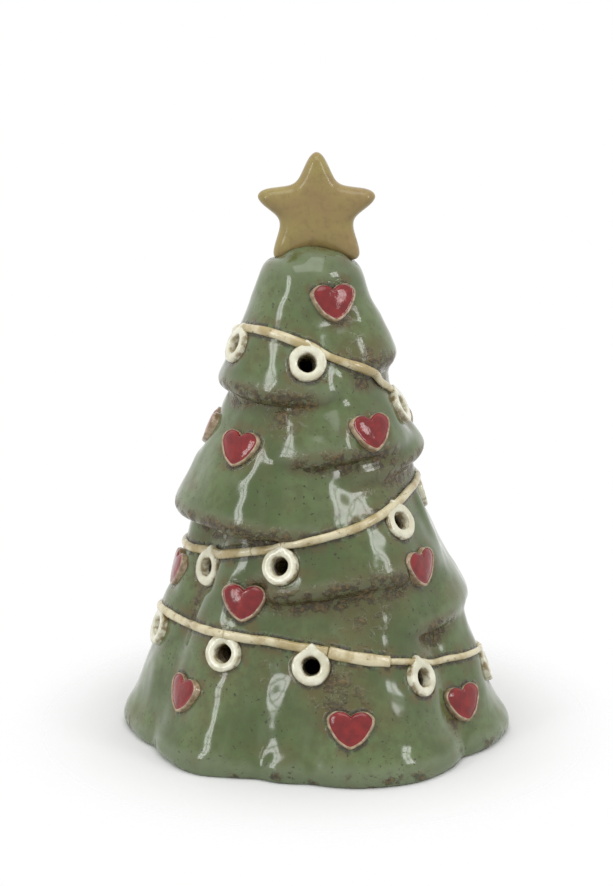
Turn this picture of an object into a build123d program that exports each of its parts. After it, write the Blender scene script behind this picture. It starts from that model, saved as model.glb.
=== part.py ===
from build123d import *
import os
from math import acos, atan2, cos, degrees, pi, radians, sin

# A hollow glazed tree, open at the foot, that stands over a small light.
# Millimetres, +Z up, foot on Z = 0, front toward -Y. Azimuths are degrees from +X, counter-clockwise.

# Core: the plain cone that the boughs stand out from, with a domed crown
crown_height = 172.0
dome_height = 9.0
shoulder_radius = 14.6
crown_radius = 10.2
crown_rise = 2.6
core_foot_radius = 57.0
wall = 5.0
hollow_sides = 12
lean = 3.0

# Boughs: three tiers of tilted skirts. A skirt reaches from the axis out to its hem at its azimuth.
hem_roll = 3.0
crown_top_height = 165.0
crown_top_radius = 13.3
crown_hem_height = 126.0
crown_reach = 31.5
crown_bough_radius = 27.0
upper_top_height = 138.0
upper_top_radius = 16.5
upper_hem_height = 88.0
upper_reach = 43.0
upper_bough_radius = 37.0
middle_top_height = 101.0
middle_top_radius = 26.5
middle_hem_height = 46.0
middle_reach = 53.0
middle_bough_radius = 45.0

# For each bough its azimuth, then its hem height, reach and radius as shares of the tier's
crown_bough_shares = ((205, 0.96, 1.11, 1.06), (345, 1.01, 0.92, 0.90), (95, 1.00, 0.98, 1.00))
upper_bough_shares = (
    (198, 0.87, 1.16, 1.12),
    (290, 1.12, 0.91, 0.87),
    (10, 1.06, 0.90, 0.92),
    (108, 0.93, 1.03, 1.03),
)
middle_bough_shares = ((352, 0.83, 1.03, 1.05), (296, 1.17, 0.95, 0.91), (112, 1.04, 1.02, 1.04))

# Foot: upright cones that make the folds of the lowest skirt
foot_roll = 2.5
fold_reach = 67.0
fold_offset = 30.0
fold_height = 95.0
fold_top_radius = 1.0

# For each fold its azimuth, then its reach, its axis's offset from the tree's axis and its height as
# shares of the sizes above
fold_shares = (
    (184, 1.006, 0.98, 1.18),
    (226, 0.99, 1.08, 0.97),
    (264, 0.92, 0.93, 0.95),
    (297, 1.02, 1.01, 1.00),
    (345, 1.018, 1.15, 0.93),
    (28, 0.98, 0.97, 0.95),
    (82, 0.98, 0.90, 1.00),
    (136, 0.99, 0.92, 0.97),
)

# Star, with the turns of its arms and notches from the top one on
star_point_radius = 25.0
star_notch_radius = 12.2
star_tip_round = 2.6
star_tip_steps = 4
star_thickness = 9.0
star_bevel = 2.4
star_arm_angles = (0, 72, 138, 222, 288)
star_notch_angles = (36, 101, 180, 259, 324)
star_lift = 10.2

# Garlands: loops of clay coils on tilted rounds
coil_radius = 1.6
coil_clearance = 0.3
coil_taut_rounds = 12
coil_gap = 0.6
coil_sides = 6
coil_step_angle = 10.0
upper_coil_azimuths = (196, 316, 76)
middle_coil_azimuths = (238, 254, 357, 110)
lower_coil_azimuths = (186, 233, 274, 297, 350)

# For each garland the azimuth of its high side, then its mean height and its swing as shares of the
# crown's height
garland_shares = {
    "upper": (221, 0.764, 0.084),
    "middle": (359, 0.460, 0.067),
    "lower": (226, 0.210, 0.057),
}

# Light rings: they hang under the garlands, each round a hole through the wall
ring_radius = 6.2
ring_hole_radius = 3.0
ring_top = 5.8
ring_least_rim = 1.0
ring_sides = 10
ring_hole_sides = 8
ring_thickness = 2.6
ring_drop = 6.6
ring_clearance = 0.2
light_hole_radius = 2.8
light_hole_spare = 5.0
upper_ring_azimuths = (202, 263, 349, 55, 128)
middle_ring_azimuths = (209, 254, 315, 5, 56, 108, 158)
lower_ring_azimuths = (189, 233, 268, 309, 351, 31, 70, 110, 150)

# Hearts: azimuth, and height as a share of the crown's height
heart_lobe_radius = 3.9
heart_lobe_offset = 3.4
heart_lobe_height = 2.9
heart_lobe_steps = 4
heart_lobe_end_angle = -35.0
heart_tip_drop = 7.2
heart_thickness = 2.9
heart_clearance = 1.0
top_heart_shares = ((289, 0.895), (109, 0.890))
upper_heart_shares = ((224, 0.613), (303, 0.652), (178, 0.622), (28, 0.622), (100, 0.634))
middle_heart_shares = ((320, 0.381), (237, 0.330), (186, 0.335), (32, 0.407), (84, 0.372), (134, 0.326))
lower_heart_shares = (
    (219, 0.130),
    (281, 0.104),
    (328, 0.099),
    (10, 0.081),
    (55, 0.081),
    (90, 0.093),
    (130, 0.105),
)

# Sprigs in common
seat_edge = 1.0
seat_clearance = 8.0
sprig_bevel = 0.7


def across(azimuth):
    """The level direction out from the tree's axis."""
    return Vector(cos(radians(azimuth)), sin(radians(azimuth)), 0)


def bough(azimuth, hem_height, reach, radius, top_height, top_radius):
    """One skirt of a tier: a cone that hangs out from the core, with its hem rolled under."""
    hem = across(azimuth) * (reach - radius) + Vector(0, 0, hem_height)
    top = Vector(-lean, 0, top_height)
    with BuildPart(Plane(origin=hem, z_dir=top - hem)) as skirt:
        Cone(
            bottom_radius=radius,
            top_radius=top_radius,
            height=(top - hem).length,
            align=(Align.CENTER, Align.CENTER, Align.MIN),
        )
        chamfer(skirt.edges().filter_by(GeomType.CIRCLE).sort_by(Axis.Z)[0], length=hem_roll)
    return skirt.part


def fold(azimuth, reach, offset, height):
    """One fold of the lowest skirt: an upright cone with a rounded foot."""
    with BuildPart(Plane(origin=across(azimuth) * offset)) as ridge:
        Cone(
            bottom_radius=reach - offset,
            top_radius=fold_top_radius,
            height=height,
            align=(Align.CENTER, Align.CENTER, Align.MIN),
        )
        chamfer(ridge.edges().filter_by(GeomType.CIRCLE).sort_by(Axis.Z)[0], length=foot_roll)
    return ridge.part


shoulder_height = crown_height - dome_height
tiers = (
    (
        crown_bough_shares,
        crown_hem_height,
        crown_reach,
        crown_bough_radius,
        crown_top_height,
        crown_top_radius,
    ),
    (
        upper_bough_shares,
        upper_hem_height,
        upper_reach,
        upper_bough_radius,
        upper_top_height,
        upper_top_radius,
    ),
    (
        middle_bough_shares,
        middle_hem_height,
        middle_reach,
        middle_bough_radius,
        middle_top_height,
        middle_top_radius,
    ),
)

# The tree's outer form, still solid
with BuildPart() as outer:
    with BuildSketch(Plane.XZ):
        with BuildLine():
            Line((0, 0), (core_foot_radius, 0))
            Line((core_foot_radius, 0), (shoulder_radius, shoulder_height))
            Line((shoulder_radius, shoulder_height), (crown_radius, crown_height - crown_rise))
            Line((crown_radius, crown_height - crown_rise), (0, crown_height))
            Line((0, crown_height), (0, 0))
        make_face()
    revolve(axis=Axis.Z)
    for bough_shares, hem_height, reach, radius, top_height, top_radius in tiers:
        for azimuth, height_share, reach_share, radius_share in bough_shares:
            add(
                bough(
                    azimuth,
                    hem_height * height_share,
                    reach * reach_share,
                    radius * radius_share,
                    top_height,
                    top_radius,
                )
            )
    for azimuth, reach_share, offset_share, height_share in fold_shares:
        add(fold(azimuth, fold_reach * reach_share, fold_offset * offset_share, fold_height * height_share))


def skin_point(azimuth, height):
    """The point of the outer form that lies farthest out at an azimuth and a height."""
    return outer.part.find_intersection_points(Axis((0, 0, height), across(azimuth)))[-1][0]


def seat_plane(azimuth, height_at, span):
    """A sprig's seat: X along a line round the tree, of height height_at(azimuth), and Z out. It lies deep
    enough for the skin to cover the seat's whole span."""
    height = height_at(azimuth)
    centre = skin_point(azimuth, height)
    turn = degrees(span / Vector(centre.X, centre.Y).length)
    after = skin_point(azimuth + turn, height_at(azimuth + turn))
    before = skin_point(azimuth - turn, height_at(azimuth - turn))
    upper = skin_point(azimuth, height + span)
    lower = skin_point(azimuth, height - span)
    along = after - before
    tangent = Plane(origin=centre, x_dir=along, z_dir=along.cross(upper - lower))
    edges = [tangent.to_local_coords(edge) for edge in (after, before, upper, lower)]
    return tangent.offset(min(0, *[edge.Z for edge in edges]))


def garland_height(garland, azimuth):
    """Height of a garland's loop at an azimuth."""
    high_azimuth, mean_share, swing_share = garland
    return crown_height * (mean_share + swing_share * cos(radians(azimuth - high_azimuth)))


def garland_radius(garland, azimuth):
    """Radius at which a coil clears the skin, over its own thickness and the half steps beside it."""
    height = garland_height(garland, azimuth)
    near = [skin_point(azimuth, height + offset) for offset in (-coil_radius, 0, coil_radius)]
    near += [skin_point(azimuth + turn, height) for turn in (-coil_step_angle / 2, coil_step_angle / 2)]
    return max(Vector(point.X, point.Y).length for point in near) + coil_radius + coil_clearance


def garland_point(garland, azimuth, radius):
    """A point of a garland's centre line."""
    return across(azimuth) * radius + Vector(0, 0, garland_height(garland, azimuth))


def garland_coils(garland, ends):
    """The clay coils of one garland, laid end to end round the tree and drawn taut over the creases."""
    coils = []
    for start, end in zip(ends, ends[1:] + ends[:1]):
        margin = degrees(coil_gap / garland_radius(garland, start))
        span = (end - start) % 360 - 2 * margin
        steps = max(2, round(span / coil_step_angle))
        azimuths = [start + margin + span * step / steps for step in range(steps + 1)]
        radii = [garland_radius(garland, azimuth) for azimuth in azimuths]
        for _ in range(coil_taut_rounds):
            between = [(before + after) / 2 for before, after in zip(radii, radii[2:])]
            radii[1:-1] = [max(pair) for pair in zip(radii[1:-1], between)]
        with BuildPart() as coil:
            with BuildLine():
                points = [garland_point(garland, *place) for place in zip(azimuths, radii)]
                path = Polyline(*points)
            with BuildSketch(Plane(origin=path @ 0, z_dir=path % 0)):
                RegularPolygon(radius=coil_radius, side_count=coil_sides)
            sweep(transition=Transition.RIGHT)
        coils.append(coil.part)
    return coils


def flat_sprig(plane, thickness, outline, hole_sides=0):
    """A flat clay sprig with a bevelled edge, on its seat."""
    with BuildPart() as sprig:
        with BuildSketch(plane):
            with BuildLine():
                Polyline(*outline, close=True)
            make_face()
            if hole_sides:
                RegularPolygon(radius=ring_hole_radius, side_count=hole_sides, mode=Mode.SUBTRACT)
        extrude(amount=thickness)
        face = sprig.faces().sort_by(Axis(plane.origin, plane.z_dir))[-1]
        chamfer(face.outer_wire().edges(), length=sprig_bevel)
    return sprig.part


def ring_outline(top):
    """A round outline, cut level at its top where the garland passes."""
    start = acos(top / ring_radius)
    turns = [start + 2 * (pi - start) * step / ring_sides for step in range(ring_sides + 1)]
    return [(ring_radius * sin(turn), ring_radius * cos(turn)) for turn in turns]


def heart_outline():
    """Two round lobes that run down to a point."""
    start = degrees(acos(-heart_lobe_offset / heart_lobe_radius))
    right = []
    for step in range(heart_lobe_steps + 1):
        turn = radians(start + (heart_lobe_end_angle - start) * step / heart_lobe_steps)
        x = heart_lobe_offset + heart_lobe_radius * cos(turn)
        right.append((x, heart_lobe_height + heart_lobe_radius * sin(turn)))
    left = [(-x, y) for x, y in reversed(right[1:])]
    return right + [(0, -heart_tip_drop)] + left


def heart_height(azimuth, share):
    """Height of a heart, which keeps clear of the light rings that hang above it."""
    height = share * crown_height
    for ring in light_planes:
        ring_azimuth = degrees(atan2(ring.origin.Y, ring.origin.X))
        turn = (azimuth - ring_azimuth + 180) % 360 - 180
        apart = radians(abs(turn)) * Vector(ring.origin.X, ring.origin.Y).length
        if ring.origin.Z > height and apart < ring_radius + heart_half_width:
            height = min(height, ring.origin.Z - ring_radius - heart_clearance - heart_top)
    return height


# Sprigs, row by row, with the planes of the lights and the extent of each seat: its plane, half its
# width, its lowest line and its highest
pieces = {}
seats = []
light_planes = []
coil_azimuths = {
    "upper": upper_coil_azimuths,
    "middle": middle_coil_azimuths,
    "lower": lower_coil_azimuths,
}
ring_azimuths = {
    "upper": upper_ring_azimuths,
    "middle": middle_ring_azimuths,
    "lower": lower_ring_azimuths,
}
for row, garland in garland_shares.items():
    for number, coil in enumerate(garland_coils(garland, coil_azimuths[row]), 1):
        pieces[f"{row}_garland_coil_{number}"] = coil
    for number, azimuth in enumerate(ring_azimuths[row], 1):
        plane = seat_plane(azimuth, lambda turned: garland_height(garland, turned) - ring_drop, ring_radius)
        coil_centre = garland_point(garland, azimuth, garland_radius(garland, azimuth))
        room = plane.to_local_coords(coil_centre).Y - coil_radius - ring_clearance
        slide = max(0, ring_hole_radius + ring_least_rim - room)
        plane.origin -= plane.y_dir * slide
        top = min(ring_top, room + slide)
        ring = flat_sprig(plane, ring_thickness, ring_outline(top), ring_hole_sides)
        pieces[f"{row}_light_ring_{number}"] = ring
        seats.append((plane, ring_radius, -ring_radius, top))
        light_planes.append(plane)

heart_half_width = heart_lobe_offset + heart_lobe_radius
heart_top = heart_lobe_height + heart_lobe_radius
heart_shares = {
    "top": top_heart_shares,
    "upper": upper_heart_shares,
    "middle": middle_heart_shares,
    "lower": lower_heart_shares,
}
for row, places in heart_shares.items():
    for number, (azimuth, share) in enumerate(places, 1):
        height = heart_height(azimuth, share)
        plane = seat_plane(azimuth, lambda turned: height, heart_half_width)
        pieces[f"{row}_heart_{number}"] = flat_sprig(plane, heart_thickness, heart_outline())
        seats.append((plane, heart_half_width, -heart_tip_drop, heart_top))

# Star: its two lower arms are splayed and stand astride the crown
star_middle = (0, star_thickness / 2, crown_height + star_lift)
star_back = Plane(origin=star_middle, x_dir=(1, 0, 0), z_dir=(0, -1, 0))
star_reach = star_point_radius - star_notch_radius * cos(radians(star_notch_angles[0]))
half_tip = atan2(star_notch_radius * sin(radians(star_notch_angles[0])), star_reach)
tip_centre = star_point_radius - star_tip_round / sin(half_tip)
tip_swing = pi / 2 - half_tip
star_outline = []
for arm_angle, notch_angle in zip(star_arm_angles, star_notch_angles):
    arm = radians(arm_angle)
    notch = radians(notch_angle)
    for step in range(star_tip_steps + 1):
        turn = arm - tip_swing + 2 * tip_swing * step / star_tip_steps
        x = tip_centre * sin(arm) + star_tip_round * sin(turn)
        star_outline.append((x, tip_centre * cos(arm) + star_tip_round * cos(turn)))
    star_outline.append((star_notch_radius * sin(notch), star_notch_radius * cos(notch)))
with BuildPart() as star:
    with BuildSketch(star_back):
        with BuildLine():
            Polyline(*star_outline, close=True)
        make_face()
    extrude(amount=star_thickness)
    chamfer(star.faces().filter_by(Axis.Y).edges(), length=star_bevel)

# Body: the outer form hollowed from the foot up, with a flat seat for every sprig, a hole through the
# wall behind each ring and a socket for the star
hollow_height = shoulder_height - wall
hollow_inset = (core_foot_radius - shoulder_radius) * cos(pi / hollow_sides)
hollow_slope = degrees(atan2(hollow_inset, hollow_height))
light_hole_depth = fold_reach - core_foot_radius + wall + light_hole_spare
with BuildPart() as tree_body:
    add(outer.part)
    with BuildSketch(Plane.XY):
        RegularPolygon(radius=core_foot_radius - wall, side_count=hollow_sides)
    extrude(amount=hollow_height, taper=hollow_slope, mode=Mode.SUBTRACT)
    for plane, half_width, lowest, highest in seats:
        with BuildSketch(plane):
            with Locations((0, (lowest + highest) / 2)):
                Rectangle(2 * (half_width + seat_edge), highest - lowest + 2 * seat_edge)
    extrude(amount=seat_clearance, mode=Mode.SUBTRACT)
    for plane in light_planes:
        with BuildSketch(plane):
            RegularPolygon(radius=light_hole_radius, side_count=ring_hole_sides)
    extrude(amount=-light_hole_depth, mode=Mode.SUBTRACT)
    add(star.part, mode=Mode.SUBTRACT)

pieces["tree_body"] = tree_body.part
pieces["star"] = star.part

os.makedirs("parts", exist_ok=True)
for name, piece in pieces.items():
    piece.label = name
    export_step(piece, f"parts/{name}.step")
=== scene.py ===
import math

import bpy
import numpy as np
from mathutils import Matrix, Vector, noise
from mathutils.bvhtree import BVHTree
from mathutils.kdtree import KDTree


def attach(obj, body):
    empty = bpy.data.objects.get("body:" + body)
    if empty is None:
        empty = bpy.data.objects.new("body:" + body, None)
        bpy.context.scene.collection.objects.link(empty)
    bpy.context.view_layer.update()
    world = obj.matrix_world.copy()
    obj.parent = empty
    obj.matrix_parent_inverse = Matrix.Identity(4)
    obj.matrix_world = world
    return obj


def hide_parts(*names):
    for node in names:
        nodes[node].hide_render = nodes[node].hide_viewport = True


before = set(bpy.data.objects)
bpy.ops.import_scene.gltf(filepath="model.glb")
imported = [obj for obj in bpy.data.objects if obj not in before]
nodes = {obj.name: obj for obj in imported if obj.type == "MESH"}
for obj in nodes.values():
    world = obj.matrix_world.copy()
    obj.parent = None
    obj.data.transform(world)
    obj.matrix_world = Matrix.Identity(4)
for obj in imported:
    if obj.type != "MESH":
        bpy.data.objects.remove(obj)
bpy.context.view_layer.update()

# Lengths are in metres, heights are above the foot at Z = 0, and the front faces -Y.
# A sprig is a piece of clay that is laid on the body: a light ring, a heart or a coil of a garland.

# Easing of meshes
EASE_STEP = 0.5
EASE_RETURN = 0.75
POINT_DIGITS = 7
NORMAL_DIGITS = 2
TINY = 1e-6

# Body
BODY_VOXEL = 0.0008
BODY_EASE_ROUNDS = 40
BODY_SWELL = 0.0012
SKIRT_EASE_ROUNDS = 120
SKIRT_TOP = 0.045
SKIRT_FULL_EASE_TOP = 0.7 * SKIRT_TOP
HEM_BELLY = 0.0010
HEM_BELLY_HEIGHT = 0.0052
HEM_BELLY_SPREAD = 0.004
LIGHT_KEEP_RADIUS = 0.0042
LIGHT_FREE_RADIUS = 1.5 * LIGHT_KEEP_RADIUS
LIGHT_KEEP_DEPTH = 0.03
FOOT_KEEP_HEIGHT = 0.004
FOOT_FREE_HEIGHT = 3 * FOOT_KEEP_HEIGHT
FOOT_EASE = 0.2
DENT_DEPTH = 0.0014
DENT_SCALE = 52.0
RIPPLE_DEPTH = 0.0002
RIPPLE_SCALE = 170.0

# Where the body's glaze gathers, thins or is missing, and where painted shade darkens the undersides of the
# hems
CREASE_ROUNDS = 40
CREASE_START = 0.00012
CREASE_RANGE = 0.0003
CREASE_SPREAD_ROUNDS = 60
CREASE_GAIN = 4.5
INSIDE_TURN = (0.1, 0.4)
# Painted shade under the hems: how far a face must turn toward the floor, and its share of the crease mark
UNDER_HEM_SHADE_TURN = (0.1, 0.5)
UNDER_HEM_SHADE_SHARE = 0.45
CRUST_PATCH_SHARE = 0.17
# Azimuth in degrees, height and reach of the crusts that the photo shows away from the creases
CRUST_PATCHES = ((278, 0.029, 0.010), (289, 0.058, 0.011), (310, 0.136, 0.007), (250, 0.118, 0.007))
HALO_REACH = 0.0032
STAR_HALO_REACH = 0.0055
FOOT_CRUST_HEIGHT = 0.009

STAR_VOXEL = 0.0006
STAR_EASE_ROUNDS = 130

SPRIG_LIFT = 0.0009

RING_STEPS = 64
RING_OUTER = 0.0064
RING_INNER = 0.0031
RING_TAB = 0.0016
RING_TAB_TURN = 0.22
RING_ROOT = 0.0015
RING_RISE = 0.0022
RING_HOLE_SHIFT = 0.0005
# Without a seed noise_vector, which shifts the holes, starts from the clock
RING_HOLE_SEED = 1
RING_SPOT_SCALE = 900
RING_UNEVEN = 0.05
RING_UNEVEN_SCALE = 1.3
RING_EDGE_START = 0.55
RING_EDGE_GAIN = 2.2
# Share of the way from the hole to the outer edge, and height
RING_PROFILE = (
    (1.00, -RING_ROOT),
    (1.00, 0.55 * RING_RISE),
    (0.95, 0.85 * RING_RISE),
    (0.84, RING_RISE),
    (0.50, RING_RISE),
    (0.18, 0.97 * RING_RISE),
    (0.05, 0.80 * RING_RISE),
    (0.00, -RING_ROOT),
)

HEART_BACK_DEPTH = 0.0002
HEART_WIDTH_GROWTH = 1.14
HEART_HEIGHT_GROWTH = 0.95
HEART_LONG_SIDE = 0.003
HEART_SIDE_BOW = 0.11
HEART_ROUNDINGS = 3
HEART_LONGEST_CUT = 0.0009
LARGEST_CUT_SHARE = 0.25
# Share of the outline's size, height, and how bare the clay is
HEART_PROFILE = (
    (1.000, -0.0015, 1.00),
    (1.000, 0.0012, 1.00),
    (0.980, 0.0017, 1.00),
    (0.940, 0.0020, 1.00),
    (0.900, 0.0018, 0.75),
    (0.875, 0.0017, 0.00),
    (0.780, 0.0021, 0.00),
    (0.550, 0.0025, 0.00),
    (0.280, 0.0027, 0.00),
    (0.040, 0.0027, 0.00),
)

COIL_STATION_GAP = math.radians(2)
COIL_STEP = 0.0012
COIL_END_REACH = 0.0015
COIL_END_BLUNT = 0.0004
COIL_END_TAPER = 0.0016
COIL_HALF_WIDTH = 0.00155
COIL_RISE = 0.0012
COIL_SEAT_SHARE = 0.35
COIL_SIDES = 12
COIL_EASE_ROUNDS = 4
COIL_SWELL = 0.20
COIL_SWELL_SCALE = 110
COIL_GRAIN = 0.04
COIL_GRAIN_SCALE = 420
RIBBON = "lower_garland_coil_3"
RIBBON_WIDTH_SHARE = 1.35
RIBBON_RISE_SHARE = 0.6
THIN_COIL = "lower_garland_coil_4"
THIN_COIL_WIDTH_SHARE = 0.75

# Glazes, in linear colour
SPECULAR_LEVEL = 0.4
COAT_ROUGHNESS = 0.06
GREEN_ROUGHNESS = 0.13
CRUST_ROUGHNESS = 0.30
CLAY_ROUGHNESS = 0.6
DEEP_SAGE = (0.069, 0.106, 0.028)
PALE_SAGE = (0.124, 0.170, 0.062)
FINE_OLIVE = (0.070, 0.084, 0.026)
RUN_SAGE = (0.140, 0.182, 0.092)
RIDGE_SAGE = (0.19, 0.23, 0.14)
WARM_OLIVE = (0.122, 0.095, 0.030)
IRON_SPECK = (0.030, 0.025, 0.010)
# Crust colours, which also paint shade on the undersides of the hems
CRUST_AND_SHADE_VEIL = (0.112, 0.080, 0.020)
CRUST_AND_SHADE_DARK = (0.030, 0.017, 0.005)
CRUST_AND_SHADE_LIGHT = (0.150, 0.092, 0.026)
SEAM_BROWN = (0.036, 0.026, 0.010)
INNER_CLAY_DARK = (0.30, 0.22, 0.14)
INNER_CLAY_LIGHT = (0.42, 0.33, 0.22)
HEART_DARK = (0.170, 0.003, 0.004)
HEART_LIGHT = (0.255, 0.009, 0.008)
RIM_CLAY_DARK = (0.26, 0.175, 0.095)
RIM_CLAY_LIGHT = (0.46, 0.35, 0.23)
CREAM_DARK = (0.66, 0.64, 0.47)
CREAM_LIGHT = (0.82, 0.81, 0.65)
THIN_CREAM = (0.26, 0.19, 0.085)
GARLAND_GOLD = (0.43, 0.34, 0.155)
GARLAND_CREAM = (0.68, 0.61, 0.40)
GARLAND_MARK = (0.15, 0.095, 0.035)
STAR_PINK = (0.305, 0.218, 0.088)
STAR_OLIVE = (0.320, 0.255, 0.084)
STAR_FINE = (0.185, 0.125, 0.055)
STAR_SPECK = (0.10, 0.07, 0.03)

# Stage
WHITE = (1, 1, 1, 1)
FLOOR_COLOUR = (0.80, 0.80, 0.80, 1)
FLOOR_ROUGHNESS = 0.9
FLOOR_FADE_START = 0.066
FLOOR_FADE_END = 0.115
# The world's light goes from the front level to the back level between these Y parts of its direction
FRONT_LEVEL = 0.45
FRONT_EDGE = -0.85
BACK_LEVEL = 1.0
BACK_EDGE = 0.25
LIGHT_TARGET = Vector((0, 0, 0.09))

CAMERA_TARGET = Vector((-0.0034, 0.0, 0.1019))
CAMERA_ELEVATION = math.radians(14)
CAMERA_DISTANCE = 0.75
CAMERA_SENSOR = 24.0
CAMERA_LENS = 58.33


# Meshes

def add_object(name, mesh):
    """A new object with smooth shading, linked to the scene."""
    mesh.shade_smooth()
    thing = bpy.data.objects.new(name, mesh)
    bpy.context.scene.collection.objects.link(thing)
    return thing


def add_mesh(name, points, faces):
    mesh = bpy.data.meshes.new(name)
    mesh.from_pydata([tuple(p) for p in points], [], faces)
    mesh.validate()
    return add_object(name, mesh)


def points_of(mesh):
    flat = np.empty(len(mesh.vertices) * 3, np.float32)
    mesh.vertices.foreach_get("co", flat)
    return flat.reshape(-1, 3).astype(float)


def normals_of(mesh):
    flat = np.empty(len(mesh.vertices) * 3, np.float32)
    mesh.vertex_normals.foreach_get("vector", flat)
    return flat.reshape(-1, 3).astype(float)


def edge_pairs(mesh):
    flat = np.empty(len(mesh.edges) * 2, np.int32)
    mesh.edges.foreach_get("vertices", flat)
    return flat.reshape(-1, 2)


def set_points(mesh, points):
    mesh.vertices.foreach_set("co", points.astype(np.float32).ravel())
    mesh.update()


def set_attribute(mesh, name, values):
    """Paints values from 0 to 1 onto a mesh's points, for its material to read."""
    layer = mesh.attributes.new(name, "FLOAT", "POINT")
    layer.data.foreach_set("value", np.clip(values, 0, 1).astype(np.float32))


def remeshed(node, name, voxel):
    """A copy of a CAD node with an even skin of small faces."""
    source = bpy.data.objects.new(name + "_source", nodes[node].data.copy())
    bpy.context.scene.collection.objects.link(source)
    remesh = source.modifiers.new("even", "REMESH")
    remesh.mode = "VOXEL"
    remesh.voxel_size = voxel
    graph = bpy.context.evaluated_depsgraph_get()
    mesh = bpy.data.meshes.new_from_object(source.evaluated_get(graph))
    mesh.name = name
    mesh.materials.clear()
    bpy.data.objects.remove(source)
    return add_object(name, mesh)


def eased(points, pairs, rounds, weights=1.0):
    """Points drawn toward their neighbours' middle, as glaze rounds an edge."""
    first, second = pairs.T
    count = np.bincount(pairs.ravel(), minlength=len(points))[:, None]
    share = EASE_STEP * np.broadcast_to(np.asarray(weights, float).reshape(-1, 1), count.shape)
    points = points.copy()
    for _ in range(rounds):
        total = np.empty_like(points)
        for axis in range(points.shape[1]):
            column = points[:, axis]
            total[:, axis] = np.bincount(first, column[second], len(points))
            total[:, axis] += np.bincount(second, column[first], len(points))
        points += share * (total / count - points)
    return points


def rounded(points, pairs, rounds, weights=1.0):
    """Points eased, then given back most of the fullness that easing takes from the large forms."""
    soft = eased(points, pairs, rounds, weights)
    return soft + EASE_RETURN * (soft - eased(soft, pairs, rounds, weights))


def smooth_step(values, low, high):
    t = np.clip((values - low) / (high - low), 0, 1)
    return t * t * (3 - 2 * t)


# Where the sprigs sit, read from their CAD nodes

def unique_points(node):
    return np.unique(points_of(nodes[node].data).round(POINT_DIGITS), axis=0)


def facing(node):
    """The direction in which a flat sprig faces."""
    areas = {}
    for face in nodes[node].data.polygons:
        key = tuple(round(c, NORMAL_DIGITS) for c in face.normal)
        areas.setdefault(key, [0.0, Vector()])
        areas[key][0] += face.area
        areas[key][1] += face.normal * face.area
    normal = max(areas.values(), key=lambda entry: entry[0])[1].normalized()
    middle = Vector(unique_points(node).mean(0))
    outward = Vector((middle.x, middle.y, 0))
    return normal if normal.dot(outward) > 0 else -normal


def sprig_frame(origin, out, up):
    """Matrix with Z out of the skin and Y as near to up as can be."""
    across = up.cross(out).normalized()
    return Matrix.Translation(origin) @ Matrix((across, out.cross(across), out)).transposed().to_4x4()


def ring_frame(node):
    """Frame of a light ring: at the middle of its hole, on its back face, with Y up the tree."""
    out = facing(node)
    points = unique_points(node)
    flat = points - np.outer(points @ np.array(out), np.array(out))
    distance = np.linalg.norm(flat - flat.mean(0), axis=1)
    hole = points[distance < (distance.min() + distance.max()) / 2]
    back = min(float(p @ np.array(out)) for p in points)
    middle = Vector(hole.mean(0))
    seat = middle + out * (back + SPRIG_LIFT - middle.dot(out))
    return sprig_frame(seat, out, Vector((0, 0, 1)))


def heart_frame(node):
    """Frame of a heart, on the middle of its back with Y away from its point, and its back's corners."""
    out = facing(node)
    points = [Vector(p) for p in unique_points(node)]
    back = min(p.dot(out) for p in points)
    rim = [p for p in points if p.dot(out) < back + HEART_BACK_DEPTH]
    middle = sum(rim, Vector()) / len(rim)
    point = max(rim, key=lambda p: (p - middle).length)
    return sprig_frame(middle + out * SPRIG_LIFT, out, middle - point), rim


light_rings = sorted(n for n in nodes if "light_ring" in n)
hearts = sorted(n for n in nodes if "heart" in n)
coils = sorted(n for n in nodes if "garland_coil" in n)
ring_frames = {n: ring_frame(n) for n in light_rings}


# The tree's body and star

def clear_of_lights(points):
    """0 at the light holes, which keep their CAD form, and 1 away from them."""
    nearest = np.full(len(points), np.inf)
    for place in ring_frames.values():
        axis = np.array(place.col[2][:3])
        offset = points - np.array(place.translation)
        along = offset @ axis
        away = np.linalg.norm(offset - np.outer(along, axis), axis=1)
        away[along < -LIGHT_KEEP_DEPTH] = np.inf
        nearest = np.minimum(nearest, away)
    return smooth_step(nearest, LIGHT_KEEP_RADIUS, LIGHT_FREE_RADIUS)


def crust_patches(points):
    """How near each point is to the middle of a patch of crust."""
    nearness = np.zeros(len(points))
    for azimuth, height, reach in CRUST_PATCHES:
        out = np.array([math.cos(math.radians(azimuth)), math.sin(math.radians(azimuth))])
        across = points[:, 0] * out[1] - points[:, 1] * out[0]
        near = np.exp(-(across**2 + (points[:, 2] - height) ** 2) / reach**2)
        nearness = np.maximum(nearness, near * (points[:, :2] @ out > 0))
    return nearness


def mark_body(mesh, points, pairs, above_foot):
    """Paints the creases, ridges and inside of the body, and painted shade on the undersides of the hems,
    which shares the crease mark.
    """
    normals = normals_of(mesh)
    hollow = ((eased(points, pairs, CREASE_ROUNDS) - points) * normals).sum(1)
    radius = np.linalg.norm(points[:, :2], axis=1).clip(TINY)
    inward = -(points[:, :2] * normals[:, :2]).sum(1) / radius
    inside = smooth_step(inward, *INSIDE_TURN)
    # Painted shade: faces that turn down under a hem get the crust's browns, standing in for the shade
    # there
    painted_shade_under_hem = UNDER_HEM_SHADE_SHARE * smooth_step(-normals[:, 2], *UNDER_HEM_SHADE_TURN) * (1 - inside) * above_foot
    crease = np.clip((hollow - CREASE_START) / CREASE_RANGE, 0, 1)
    crease = np.maximum.reduce([crease, painted_shade_under_hem, CRUST_PATCH_SHARE * crust_patches(points)])
    spread = eased(crease[:, None], pairs, CREASE_SPREAD_ROUNDS)[:, 0]
    set_attribute(mesh, "crease", CREASE_GAIN * spread)
    set_attribute(mesh, "ridge", (-hollow - CREASE_START) / CREASE_RANGE)
    set_attribute(mesh, "inside", inside)


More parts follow.
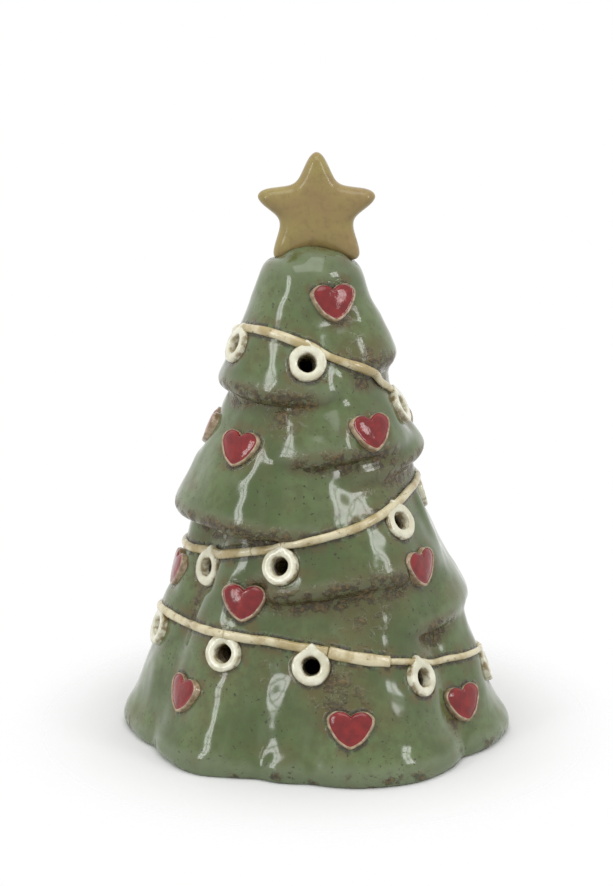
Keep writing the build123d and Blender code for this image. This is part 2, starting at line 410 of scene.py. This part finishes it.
def make_body():
    """The CAD body with its creases and hems rounded as under glaze, and the dents of a hand."""
    body = remeshed("tree_body", "glazed_tree", BODY_VOXEL)
    mesh = body.data
    points = points_of(mesh)
    pairs = edge_pairs(mesh)
    free = clear_of_lights(points)
    above_foot = smooth_step(points[:, 2], FOOT_KEEP_HEIGHT, FOOT_FREE_HEIGHT)
    weights = free * (FOOT_EASE + (1 - FOOT_EASE) * above_foot)
    points = rounded(points, pairs, BODY_EASE_ROUNDS, weights)
    skirt = 1 - smooth_step(points[:, 2], SKIRT_FULL_EASE_TOP, SKIRT_TOP)
    points = rounded(points, pairs, SKIRT_EASE_ROUNDS, weights * skirt)
    set_points(mesh, points)

    dent = np.array([noise.noise(Vector(p) * DENT_SCALE) for p in points])
    ripple = np.array([noise.noise(Vector(p) * RIPPLE_SCALE) for p in points])
    belly = HEM_BELLY * np.exp(-((points[:, 2] - HEM_BELLY_HEIGHT) / HEM_BELLY_SPREAD) ** 2)
    lift = BODY_SWELL + belly + DENT_DEPTH * dent + RIPPLE_DEPTH * ripple
    points = points + normals_of(mesh) * (lift * free)[:, None]
    points[:, 2] = np.maximum(points[:, 2], 0)
    set_points(mesh, points)
    mark_body(mesh, points, pairs, above_foot)
    return body


def halo(body, pieces, reach):
    """How near each point of the body is to a piece on it, where glaze gathers: 1 at the piece."""
    edge = np.concatenate([points_of(piece.data) for piece in pieces])
    tree = KDTree(len(edge))
    for index, point in enumerate(edge):
        tree.insert(point, index)
    tree.balance()
    distance = np.array([tree.find(p)[2] for p in points_of(body.data)])
    return np.exp(-distance / reach)


def make_star():
    """The CAD star, rounded into a pillow."""
    star = remeshed("star", "glazed_star", STAR_VOXEL)
    set_points(star.data, rounded(points_of(star.data), edge_pairs(star.data), STAR_EASE_ROUNDS))
    return star


# Sprigs

def swept_faces(rows, columns):
    """Faces of a grid of points whose rows close on themselves."""
    faces = []
    for row in range(rows - 1):
        here = row * columns
        after = here + columns
        for column in range(columns):
            beside = (column + 1) % columns
            faces.append((here + column, here + beside, after + beside, after + column))
    return faces


def make_ring(node):
    """A flat hand-pressed ring with a small point toward the garland."""
    place = ring_frames[node]
    middle = place.translation * RING_SPOT_SCALE
    shift = RING_HOLE_SHIFT * noise.noise_vector(middle)
    points = []
    edge = []
    for share, height in RING_PROFILE:
        for step in range(RING_STEPS):
            turn = 2 * math.pi * step / RING_STEPS
            from_top = abs((turn + math.pi) % (2 * math.pi) - math.pi)
            spot = middle + RING_UNEVEN_SCALE * Vector((math.sin(turn), math.cos(turn), 0))
            uneven = 1 + RING_UNEVEN * noise.noise(spot)
            outer = RING_OUTER * uneven + RING_TAB * math.exp(-(from_top / RING_TAB_TURN) ** 2)
            inner = RING_INNER * (2 - uneven)
            reach = inner + (outer - inner) * share
            x = reach * math.sin(turn) + shift.x * (1 - share)
            y = reach * math.cos(turn) + shift.y * (1 - share)
            points.append(place @ Vector((x, y, height)))
            edge.append(max(0.0, abs(share - 0.5) * 2 - RING_EDGE_START) * RING_EDGE_GAIN)
    ring = add_mesh("glazed_" + node, points, swept_faces(len(RING_PROFILE), RING_STEPS))
    set_attribute(ring.data, "rim", np.array(edge))
    return ring


def bowed(outline, long_side, bow):
    """A closed outline, counter-clockwise, whose long sides swell outward."""
    swollen = []
    for here, after in zip(outline, outline[1:] + outline[:1]):
        swollen.append(here)
        side = after - here
        if side.length > long_side:
            swollen.append(here.lerp(after, 0.5) + bow * Vector((side.y, -side.x)))
    return swollen


def cut_corners(outline, rounds, longest_cut):
    """A closed outline with its corners cut again and again, so that they end round."""
    for _ in range(rounds):
        cut = []
        for here, after in zip(outline, outline[1:] + outline[:1]):
            share = min(LARGEST_CUT_SHARE, longest_cut / (after - here).length)
            cut += [here.lerp(after, share), here.lerp(after, 1 - share)]
        outline = cut
    return outline


def make_heart(node):
    """A heart with a raised rim of bare clay round a puffed middle."""
    place, rim = heart_frame(node)
    back = place.inverted()
    corners = sorted((back @ p for p in rim), key=lambda p: math.atan2(p.y, p.x))
    sides = [Vector((HEART_WIDTH_GROWTH * p.x, HEART_HEIGHT_GROWTH * p.y)) for p in corners]
    outline = bowed(sides, HEART_LONG_SIDE, HEART_SIDE_BOW)
    outline = cut_corners(outline, HEART_ROUNDINGS, HEART_LONGEST_CUT)
    points = []
    bare = []
    for share, height, clay in HEART_PROFILE:
        for corner in outline:
            points.append(place @ Vector((corner.x * share, corner.y * share, height)))
            bare.append(clay)
    faces = swept_faces(len(HEART_PROFILE), len(outline))
    faces.append(tuple(range(len(points) - len(outline), len(points))))
    heart = add_mesh("glazed_" + node, points, faces)
    set_attribute(heart.data, "rim", np.array(bare))
    return heart


def coil_stations(node):
    """The middles of a CAD coil's sections, in order round the tree."""
    points = unique_points(node)
    turns = np.arctan2(points[:, 1], points[:, 0])
    order = np.argsort(turns)
    points = points[order]
    turns = turns[order]
    gaps = np.append(np.diff(turns), turns[0] + 2 * math.pi - turns[-1])
    start = int(np.argmax(gaps)) + 1
    points = np.roll(points, -start, 0)
    gaps = np.roll(gaps, -start)
    ends = np.flatnonzero(gaps > COIL_STATION_GAP) + 1
    return [Vector(group.mean(0)) for group in np.split(points, ends) if len(group)]


def curve_through(stations, step):
    """Points at even steps on a smooth curve (Catmull-Rom) through the stations."""
    held = [stations[0]] + stations + [stations[-1]]
    points = []
    for a, b, c, d in zip(held, held[1:], held[2:], held[3:]):
        pieces = max(1, round((c - b).length / step))
        for piece in range(pieces):
            t = piece / pieces
            points.append(0.5 * (2 * b + (c - a) * t + (2 * a - 5 * b + 4 * c - d) * t**2
                                 + (3 * b - a - 3 * c + d) * t**3))
    points.append(stations[-1])
    return points


def make_coil(node, skin):
    """A rolled coil of clay pressed onto the skin along its CAD coil."""
    stations = coil_stations(node)
    stations[0] += (stations[0] - stations[1]).normalized() * COIL_END_REACH
    stations[-1] += (stations[-1] - stations[-2]).normalized() * COIL_END_REACH
    path = curve_through(stations, COIL_STEP)
    half_width = COIL_HALF_WIDTH
    rise = COIL_RISE
    if node == RIBBON:
        half_width *= RIBBON_WIDTH_SHARE
        rise *= RIBBON_RISE_SHARE
    if node == THIN_COIL:
        half_width *= THIN_COIL_WIDTH_SHARE
    touch = [skin.find_nearest(p) for p in path]
    middles = np.array([hit[0] + hit[1] * (COIL_SEAT_SHARE * rise) for hit in touch])
    outs = np.array([hit[1] for hit in touch])
    row = np.column_stack([np.arange(len(path) - 1), np.arange(1, len(path))])
    middles = eased(middles, row, COIL_EASE_ROUNDS)
    outs = eased(outs, row, COIL_EASE_ROUNDS)
    points = []
    for index, (middle, out) in enumerate(zip(middles, outs)):
        before = Vector(middles[max(index - 1, 0)])
        after = Vector(middles[min(index + 1, len(middles) - 1)])
        middle = Vector(middle)
        out = Vector(out).normalized()
        side = (after - before).normalized().cross(out).normalized()
        from_end = min(index, len(middles) - 1 - index) * COIL_STEP
        taper = math.sqrt(1 - (1 - min(1, (from_end + COIL_END_BLUNT) / COIL_END_TAPER)) ** 2)
        uneven = (1 + COIL_SWELL * noise.noise(middle * COIL_SWELL_SCALE)
                  + COIL_GRAIN * noise.noise(middle * COIL_GRAIN_SCALE))
        for step in range(COIL_SIDES):
            turn = 2 * math.pi * step / COIL_SIDES
            offset = side * (half_width * math.cos(turn)) + out * (rise * math.sin(turn))
            points.append(middle + offset * (taper * uneven))
    faces = swept_faces(len(middles), COIL_SIDES)
    faces.append(tuple(range(COIL_SIDES - 1, -1, -1)))
    faces.append(tuple(range(len(points) - COIL_SIDES, len(points))))
    return add_mesh("glazed_" + node, points, faces)


# Materials

def put_node(tree, kind, sources, **settings):
    """A new shader node with its inputs linked or set."""
    made = tree.nodes.new(kind)
    for key, value in settings.items():
        setattr(made, key, value)
    for key, value in sources.items():
        if isinstance(value, bpy.types.NodeSocket):
            tree.links.new(value, made.inputs[key])
        else:
            made.inputs[key].default_value = value
    return made


class Glaze:
    """A procedural material made of a few chained nodes."""

    def __init__(self, name, roughness, coat):
        self.material = bpy.data.materials.new(name)
        self.material.use_nodes = True
        self.tree = self.material.node_tree
        self.shader = self.tree.nodes["Principled BSDF"]
        self.shader.inputs["Roughness"].default_value = roughness
        self.shader.inputs["Specular IOR Level"].default_value = SPECULAR_LEVEL
        self.shader.inputs["Coat Weight"].default_value = coat
        self.shader.inputs["Coat Roughness"].default_value = COAT_ROUGHNESS
        self.place = self.put("ShaderNodeTexCoord", {}).outputs["Object"]

    def put(self, kind, sources, **settings):
        return put_node(self.tree, kind, sources, **settings)

    def cloud(self, scale, detail, stretch=None):
        """Soft noise from 0 to 1, drawn out along the axes by stretch."""
        place = self.place
        if stretch:
            place = self.put("ShaderNodeMapping", {"Vector": place, "Scale": stretch}).outputs["Vector"]
        made = self.put("ShaderNodeTexNoise", {"Vector": place, "Scale": scale, "Detail": detail})
        return made.outputs["Fac"]

    def step(self, value, low, high):
        """0 below low, 1 above high."""
        made = self.put("ShaderNodeMapRange", {"Value": value, "From Min": low, "From Max": high},
                        interpolation_type="SMOOTHSTEP")
        return made.outputs["Result"]

    def combined(self, operation, first, second):
        return self.put("ShaderNodeMath", {0: first, 1: second}, operation=operation).outputs[0]

    def plus(self, first, second):
        return self.combined("ADD", first, second)

    def times(self, first, second):
        return self.combined("MULTIPLY", first, second)

    def most(self, first, second):
        return self.combined("MAXIMUM", first, second)

    def painted(self, name):
        """A value that is painted on the mesh's points."""
        return self.put("ShaderNodeAttribute", {}, attribute_name=name).outputs["Fac"]

    def mix(self, share, first, second):
        """The first colour, with a share of the second."""
        made = self.put("ShaderNodeMix", {"Factor": share}, data_type="RGBA")
        for socket, value in (("A", first), ("B", second)):
            target = [i for i in made.inputs if i.name == socket and i.type == "RGBA"][0]
            if isinstance(value, bpy.types.NodeSocket):
                self.tree.links.new(value, target)
            else:
                target.default_value = (*value, 1)
        return [o for o in made.outputs if o.type == "RGBA"][0]

    def colour(self, value):
        self.tree.links.new(value, self.shader.inputs["Base Color"])

    def rough(self, value):
        self.tree.links.new(value, self.shader.inputs["Roughness"])

    def bump(self, height, distance):
        made = self.put("ShaderNodeBump", {"Height": height, "Distance": distance, "Strength": 1.0})
        self.tree.links.new(made.outputs["Normal"], self.shader.inputs["Normal"])


def green_glaze():
    """Sage glaze with iron specks, that gathers brown in creases and round the sprigs, with painted shade
    under the hems.
    """
    g = Glaze("green_glaze", GREEN_ROUGHNESS, coat=0.25)
    tone = g.mix(g.step(g.cloud(38, 5), 0.36, 0.66), DEEP_SAGE, PALE_SAGE)
    fine = g.step(g.cloud(330, 5), 0.38, 0.66)
    tone = g.mix(g.times(fine, 0.5), tone, FINE_OLIVE)
    runs = g.step(g.cloud(120, 4, stretch=(1, 1, 0.16)), 0.50, 0.78)
    tone = g.mix(g.times(runs, 0.5), tone, RUN_SAGE)
    tone = g.mix(g.times(g.painted("ridge"), 0.45), tone, RIDGE_SAGE)

    near_sprig = g.painted("halo")
    warm = g.most(g.times(g.step(g.cloud(70, 6), 0.50, 0.72), 0.55),
                  g.times(g.step(near_sprig, 0.12, 0.6), g.step(g.cloud(180, 5), 0.42, 0.62)))
    tone = g.mix(g.times(warm, 0.8), tone, WARM_OLIVE)
    specks = g.times(g.step(g.cloud(850, 2), 0.645, 0.70), g.step(g.cloud(90, 3), 0.36, 0.58))
    tone = g.mix(g.times(specks, 0.85), tone, IRON_SPECK)

    # The crease mark is brown crust in the hollows and painted shade under the hems
    crease = g.painted("crease")
    tone = g.mix(g.times(g.step(crease, 0.03, 0.5), 0.5), tone, CRUST_AND_SHADE_VEIL)
    height = g.put("ShaderNodeSeparateXYZ", {"Vector": g.place}).outputs["Z"]
    foot = g.times(g.step(height, FOOT_CRUST_HEIGHT, 0.0), g.step(g.cloud(85, 5), 0.46, 0.62))
    grain = g.cloud(650, 6)
    patchy = g.step(g.cloud(260, 6), 0.38, 0.62)
    crust_and_shade = g.step(g.times(g.most(crease, foot), patchy), 0.10, 0.70)
    tone = g.mix(g.times(crust_and_shade, 0.82), tone, g.mix(g.step(grain, 0.42, 0.64), CRUST_AND_SHADE_DARK, CRUST_AND_SHADE_LIGHT))
    seam = g.times(g.step(near_sprig, 0.58, 0.84), g.step(g.cloud(330, 5), 0.36, 0.56))
    tone = g.mix(g.times(seam, 0.92), tone, SEAM_BROWN)

    inside = g.painted("inside")
    g.colour(g.mix(inside, tone, g.mix(g.cloud(300, 4), INNER_CLAY_DARK, INNER_CLAY_LIGHT)))
    dull = g.most(g.times(crust_and_shade, CRUST_ROUGHNESS), g.times(inside, CLAY_ROUGHNESS))
    g.rough(g.plus(dull, GREEN_ROUGHNESS))
    g.bump(g.times(g.most(crust_and_shade, seam), grain), 0.0010)
    return g.material


def heart_glaze():
    """Deep red in a thin frame of bare clay."""
    g = Glaze("heart_glaze", 0.12, coat=0.25)
    red = g.mix(g.step(g.cloud(320, 4), 0.35, 0.70), HEART_DARK, HEART_LIGHT)
    clay = g.mix(g.step(g.cloud(500, 4), 0.35, 0.65), RIM_CLAY_DARK, RIM_CLAY_LIGHT)
    g.colour(g.mix(g.step(g.painted("rim"), 0.35, 0.65), red, clay))
    g.bump(g.cloud(380, 3), 0.0002)
    return g.material


def ring_glaze():
    """Cream, with tan where the glaze runs thin at the edges."""
    g = Glaze("ring_glaze", 0.14, coat=0.5)
    cream = g.mix(g.step(g.cloud(240, 4), 0.35, 0.7), CREAM_DARK, CREAM_LIGHT)
    thin = g.times(g.painted("rim"), g.step(g.cloud(420, 4), 0.40, 0.62))
    g.colour(g.mix(thin, cream, THIN_CREAM))
    g.bump(g.cloud(350, 3), 0.0003)
    return g.material


def garland_glaze():
    """Tan gold with streaks of cream."""
    g = Glaze("garland_glaze", 0.18, coat=0.5)
    gold = g.mix(g.step(g.cloud(120, 5), 0.40, 0.60), GARLAND_GOLD, GARLAND_CREAM)
    marks = g.step(g.cloud(600, 4), 0.60, 0.72)
    g.colour(g.mix(g.times(marks, 0.6), gold, GARLAND_MARK))
    g.bump(g.cloud(420, 3), 0.0004)
    return g.material


def star_glaze():
    """Khaki tan that shades to pink and olive."""
    g = Glaze("star_glaze", 0.22, coat=0.0)
    tan = g.mix(g.step(g.cloud(60, 4), 0.38, 0.64), STAR_PINK, STAR_OLIVE)
    fine = g.step(g.cloud(420, 4), 0.45, 0.70)
    tan = g.mix(g.times(fine, 0.3), tan, STAR_FINE)
    specks = g.step(g.cloud(900, 2), 0.70, 0.75)
    g.colour(g.mix(g.times(specks, 0.4), tan, STAR_SPECK))
    g.bump(g.cloud(90, 3), 0.0006)
    return g.material


# The object, piece by piece

def finish_piece(piece, node, material):
    piece.data.materials.append(material)
    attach(piece, "root")
    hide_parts(node)


def build_tree():
    glazes = {
        "green_glaze": green_glaze(),
        "heart_glaze": heart_glaze(),
        "ring_glaze": ring_glaze(),
        "garland_glaze": garland_glaze(),
        "star_glaze": star_glaze(),
    }
    body = make_body()
    skin = BVHTree.FromPolygons([v.co for v in body.data.vertices],
                                [p.vertices[:] for p in body.data.polygons])
    star = make_star()
    made = [(make_ring(node), node, "ring_glaze") for node in light_rings]
    made += [(make_heart(node), node, "heart_glaze") for node in hearts]
    made += [(make_coil(node, skin), node, "garland_glaze") for node in coils]
    round_sprigs = halo(body, [piece for piece, _, _ in made], HALO_REACH)
    set_attribute(body.data, "halo", np.maximum(round_sprigs, halo(body, [star], STAR_HALO_REACH)))
    made += [(star, "star", "star_glaze"), (body, "tree_body", "green_glaze")]
    for piece, node, slot in made:
        finish_piece(piece, node, glazes[slot])


# Stage

def make_floor():
    """A white floor that fades into the white round about it."""
    half = FLOOR_FADE_END
    corners = [(-half, -half, 0), (half, -half, 0), (half, half, 0), (-half, half, 0)]
    floor = add_mesh("floor", corners, [(0, 1, 2, 3)])
    material = bpy.data.materials.new("floor_white")
    material.use_nodes = True
    tree = material.node_tree
    shader = tree.nodes["Principled BSDF"]
    shader.inputs["Base Color"].default_value = FLOOR_COLOUR
    shader.inputs["Roughness"].default_value = FLOOR_ROUGHNESS
    shader.inputs["Specular IOR Level"].default_value = 0.0
    place = put_node(tree, "ShaderNodeTexCoord", {}).outputs["Object"]
    away = put_node(tree, "ShaderNodeVectorMath", {0: place}, operation="LENGTH").outputs["Value"]
    span = {"Value": away, "From Min": FLOOR_FADE_END, "From Max": FLOOR_FADE_START}
    solid = put_node(tree, "ShaderNodeMapRange", span, interpolation_type="SMOOTHSTEP")
    tree.links.new(solid.outputs["Result"], shader.inputs["Alpha"])
    floor.data.materials.append(material)


def make_world():
    """White round about, whose light is dimmer on the camera's side, so that the glaze keeps its colour."""
    world = bpy.data.worlds.new("studio")
    bpy.context.scene.world = world
    world.use_nodes = True
    tree = world.node_tree
    direction = put_node(tree, "ShaderNodeTexCoord", {}).outputs["Generated"]
    toward_back = put_node(tree, "ShaderNodeSeparateXYZ", {"Vector": direction}).outputs["Y"]
    span = {"Value": toward_back, "From Min": FRONT_EDGE, "From Max": BACK_EDGE,
            "To Min": FRONT_LEVEL, "To Max": BACK_LEVEL}
    level = put_node(tree, "ShaderNodeMapRange", span, interpolation_type="SMOOTHSTEP")
    soft = tree.nodes["Background"]
    soft.inputs["Color"].default_value = WHITE
    tree.links.new(level.outputs["Result"], soft.inputs["Strength"])
    white = put_node(tree, "ShaderNodeBackground", {"Color": WHITE})

    ray = put_node(tree, "ShaderNodeLightPath", {})
    shows_white = ray.outputs["Is Camera Ray"]
    for kind in ("Is Glossy Ray", "Is Transmission Ray"):
        either = {0: shows_white, 1: ray.outputs[kind]}
        shows_white = put_node(tree, "ShaderNodeMath", either, operation="MAXIMUM").outputs["Value"]
    mix = put_node(tree, "ShaderNodeMixShader", {
        "Fac": shows_white,
        1: soft.outputs["Background"],
        2: white.outputs["Background"],
    })
    tree.links.new(mix.outputs["Shader"], tree.nodes["World Output"].inputs["Surface"])


def make_window(name, azimuth, elevation, distance, panes_across, panes_up, pane, gap, power):
    """Panes of light as of a window, turned to the tree.

    Azimuth 0 is the camera's side, and positive is to its right.
    """
    turn = math.radians(azimuth)
    rise = math.radians(elevation)
    away = Vector((math.sin(turn) * math.cos(rise), -math.cos(turn) * math.cos(rise), math.sin(rise)))
    place = (Matrix.Translation(LIGHT_TARGET + away * distance)
             @ away.to_track_quat("Z", "Y").to_matrix().to_4x4())
    for row in range(panes_up):
        for column in range(panes_across):
            light = bpy.data.lights.new(f"{name}_{row}_{column}", "AREA")
            light.shape = "RECTANGLE"
            light.size, light.size_y = pane
            light.energy = power
            shift = Vector(((column - (panes_across - 1) / 2) * (pane[0] + gap),
                            (row - (panes_up - 1) / 2) * (pane[1] + gap), 0))
            lamp = bpy.data.objects.new(light.name, light)
            lamp.matrix_world = place @ Matrix.Translation(shift)
            bpy.context.scene.collection.objects.link(lamp)


def make_lights():
    make_window("left_window", azimuth=-47, elevation=22, distance=0.9,
                panes_across=2, panes_up=3, pane=(0.075, 0.15), gap=0.02, power=0.32)
    make_window("right_window", azimuth=56, elevation=28, distance=0.9,
                panes_across=2, panes_up=2, pane=(0.085, 0.16), gap=0.02, power=0.37)
    make_window("top_light", azimuth=0, elevation=68, distance=1.0,
                panes_across=1, panes_up=1, pane=(0.8, 0.6), gap=0.0, power=3.0)


def make_camera():
    camera = bpy.data.cameras.new("camera")
    camera.sensor_fit = "VERTICAL"
    camera.sensor_height = CAMERA_SENSOR
    camera.lens = CAMERA_LENS
    away = Vector((0, -math.cos(CAMERA_ELEVATION), math.sin(CAMERA_ELEVATION)))
    holder = bpy.data.objects.new("camera", camera)
    holder.matrix_world = (Matrix.Translation(CAMERA_TARGET + away * CAMERA_DISTANCE)
                           @ away.to_track_quat("Z", "Y").to_matrix().to_4x4())
    bpy.context.scene.collection.objects.link(holder)
    bpy.context.scene.camera = holder


noise.seed_set(RING_HOLE_SEED)
build_tree()
make_floor()
make_world()
make_lights()
make_camera()
bpy.context.scene.view_settings.view_transform = "Standard"
